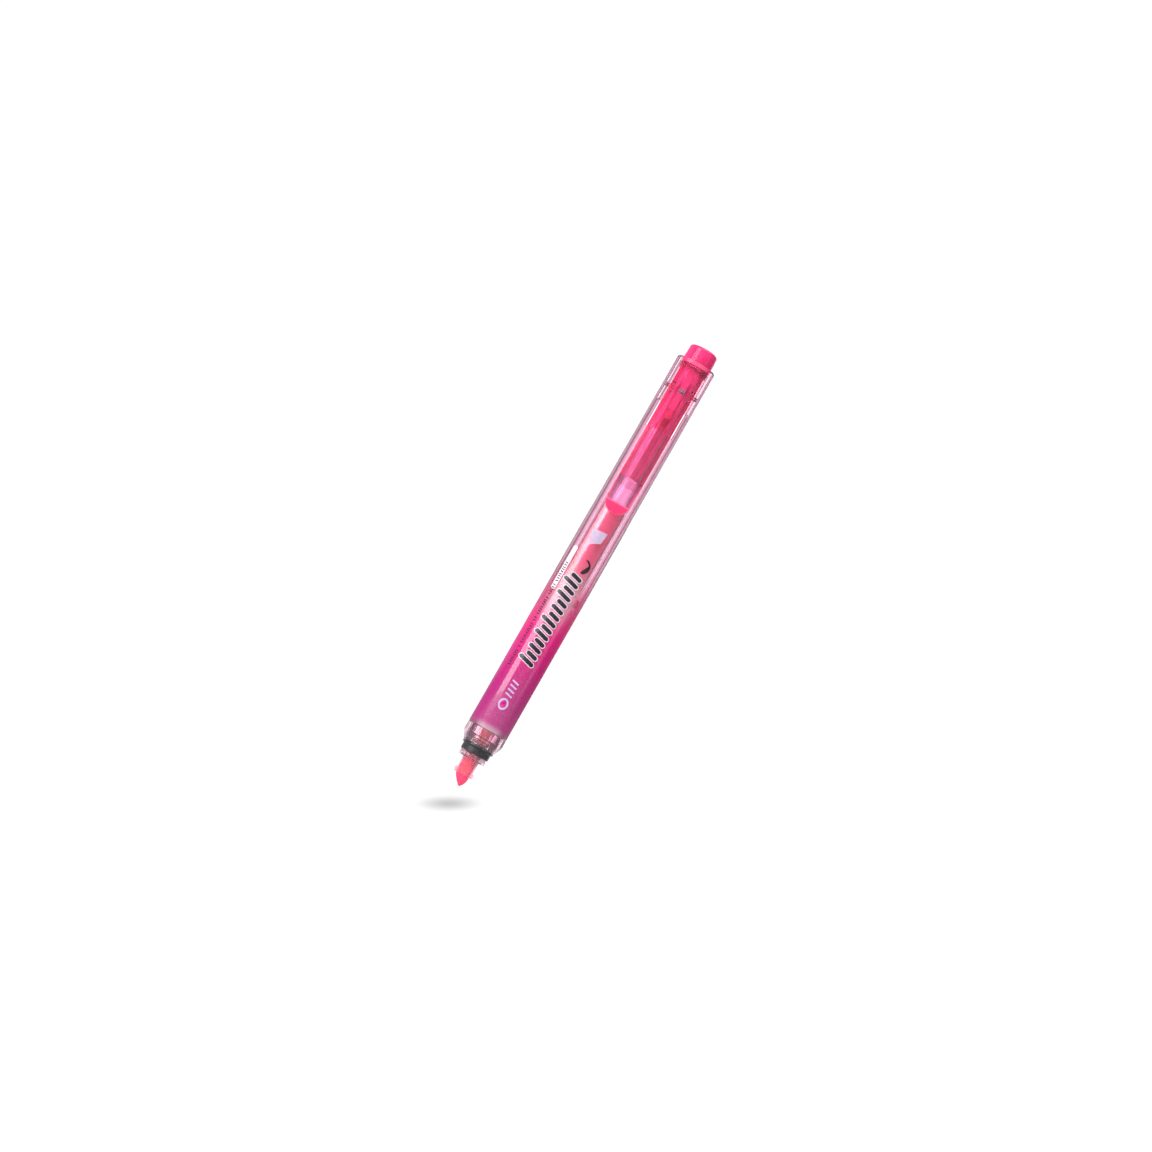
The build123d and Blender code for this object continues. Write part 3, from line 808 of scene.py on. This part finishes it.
def add_shadow():
    """A soft patch of shade below the nib, made for the front view."""
    along = Vector((math.cos(TILT), 0, math.sin(TILT)))
    across = Vector((-math.sin(TILT), 0, math.cos(TILT)))
    corners = [SHADE_CENTRE + along * SHADE_HALF_LONG * a + across * SHADE_HALF_SHORT * b
               for a, b in ((-1, -1), (1, -1), (1, 1), (-1, 1))]
    mesh = bpy.data.meshes.new("shade")
    mesh.from_pydata(corners, [], [(0, 1, 2, 3)])
    shade = new_object("shade", mesh)
    tree = Tree("shade_soft")
    offset = tree.add("ShaderNodeVectorMath", operation="SUBTRACT")
    tree.link(tree.position(), offset.inputs[0])
    offset.inputs[1].default_value = SHADE_CENTRE
    lengths = []
    for direction, size in ((along, SHADE_HALF_LONG), (across, SHADE_HALF_SHORT)):
        dot = tree.add("ShaderNodeVectorMath", operation="DOT_PRODUCT")
        tree.link(offset.outputs[0], dot.inputs[0])
        dot.inputs[1].default_value = direction / size
        lengths.append(tree.math("MULTIPLY", dot.outputs["Value"], dot.outputs["Value"]))
    spread = tree.math("SQRT", tree.math("ADD", lengths[0], lengths[1]))
    strength = tree.ramp(spread, 0.0, 1.0, SHADE_STRENGTH, 0.0)
    clear = tree.add("ShaderNodeBsdfTransparent")
    dark = tree.add("ShaderNodeEmission")
    dark.inputs["Color"].default_value = (0.22, 0.22, 0.22, 1)
    mix = tree.add("ShaderNodeMixShader")
    tree.link(strength, mix.inputs[0])
    tree.link(clear.outputs[0], mix.inputs[1])
    tree.link(dark.outputs[0], mix.inputs[2])
    tree.link(mix.outputs[0], tree.output.inputs["Surface"])
    assign(shade, tree.material)


def add_area(name, direction, distance, size, power, colour=(1, 1, 1)):
    light = bpy.data.lights.new(name, "AREA")
    light.shape = "RECTANGLE"
    light.size, light.size_y = size
    light.energy = power
    light.color = colour
    obj = bpy.data.objects.new(name, light)
    bpy.context.scene.collection.objects.link(obj)
    back = Vector(direction).normalized()
    obj.location = AIM + back * distance
    obj.rotation_mode = "QUATERNION"
    obj.rotation_quaternion = back.to_track_quat("Z", "Y")
    return obj


def add_lights():
    add_area("key_left", (-0.69, -0.72, 0.08), 0.6, (0.32, 0.9), 5.5, (1.0, 0.99, 0.99))
    add_area("fill_right", (0.85, -0.5, 0.15), 0.8, (0.25, 0.9), 0.5)
    add_area("top", (0.1, -0.25, 1.0), 0.8, (0.7, 0.7), 5.0)
    add_area("back", (0.1, 0.95, 0.2), 0.8, (0.9, 0.9), 4.0)


def add_world():
    world = bpy.data.worlds.new("studio")
    bpy.context.scene.world = world
    world.use_nodes = True
    tree = world.node_tree
    tree.nodes.clear()
    output = tree.nodes.new("ShaderNodeOutputWorld")
    seen = tree.nodes.new("ShaderNodeBackground")
    seen.inputs["Color"].default_value = (1, 1, 1, 1)
    seen.inputs["Strength"].default_value = WHITE_GLOW
    around = tree.nodes.new("ShaderNodeBackground")
    around.inputs["Strength"].default_value = 0.8
    coords = tree.nodes.new("ShaderNodeTexCoord")
    parts = tree.nodes.new("ShaderNodeSeparateXYZ")
    ramp = tree.nodes.new("ShaderNodeValToRGB")
    ramp.color_ramp.elements[0].position = 0.0
    ramp.color_ramp.elements[0].color = (0.82, 0.80, 0.84, 1)
    ramp.color_ramp.elements[1].position = 1.0
    ramp.color_ramp.elements[1].color = (0.34, 0.30, 0.32, 1)
    spread = tree.nodes.new("ShaderNodeMapRange")
    spread.inputs["From Min"].default_value = -1.0
    spread.inputs["From Max"].default_value = 1.0
    path = tree.nodes.new("ShaderNodeLightPath")
    mix = tree.nodes.new("ShaderNodeMixShader")
    tree.links.new(coords.outputs["Generated"], parts.inputs[0])
    tree.links.new(parts.outputs["X"], spread.inputs["Value"])
    tree.links.new(spread.outputs["Result"], ramp.inputs["Fac"])
    tree.links.new(ramp.outputs["Color"], around.inputs["Color"])
    tree.links.new(path.outputs["Is Camera Ray"], mix.inputs[0])
    tree.links.new(around.outputs[0], mix.inputs[1])
    tree.links.new(seen.outputs[0], mix.inputs[2])
    tree.links.new(mix.outputs[0], output.inputs["Surface"])


def add_camera():
    data = bpy.data.cameras.new("camera")
    data.lens = LENS
    data.sensor_width = 36.0
    data.clip_start, data.clip_end = 0.01, 20.0
    camera = bpy.data.objects.new("camera", data)
    bpy.context.scene.collection.objects.link(camera)
    back = Vector((0, -math.cos(ELEVATION), math.sin(ELEVATION)))
    upright = Vector((0, math.sin(ELEVATION), math.cos(ELEVATION)))
    side = Vector((1, 0, 0))
    up = upright * math.cos(TILT) - side * math.sin(TILT)
    right = side * math.cos(TILT) + upright * math.sin(TILT)
    rotation = Matrix((right, up, back)).transposed()
    camera.matrix_world = Matrix.Translation(AIM + back * DISTANCE) @ rotation.to_4x4()
    bpy.context.scene.camera = camera


def set_scene():
    scene = bpy.context.scene
    scene.view_settings.view_transform = "Standard"
    scene.cycles.max_bounces = 24
    scene.cycles.transmission_bounces = 20
    scene.cycles.transparent_max_bounces = 24


add_floor()
add_shadow()
add_lights()
add_world()
add_camera()
set_scene()
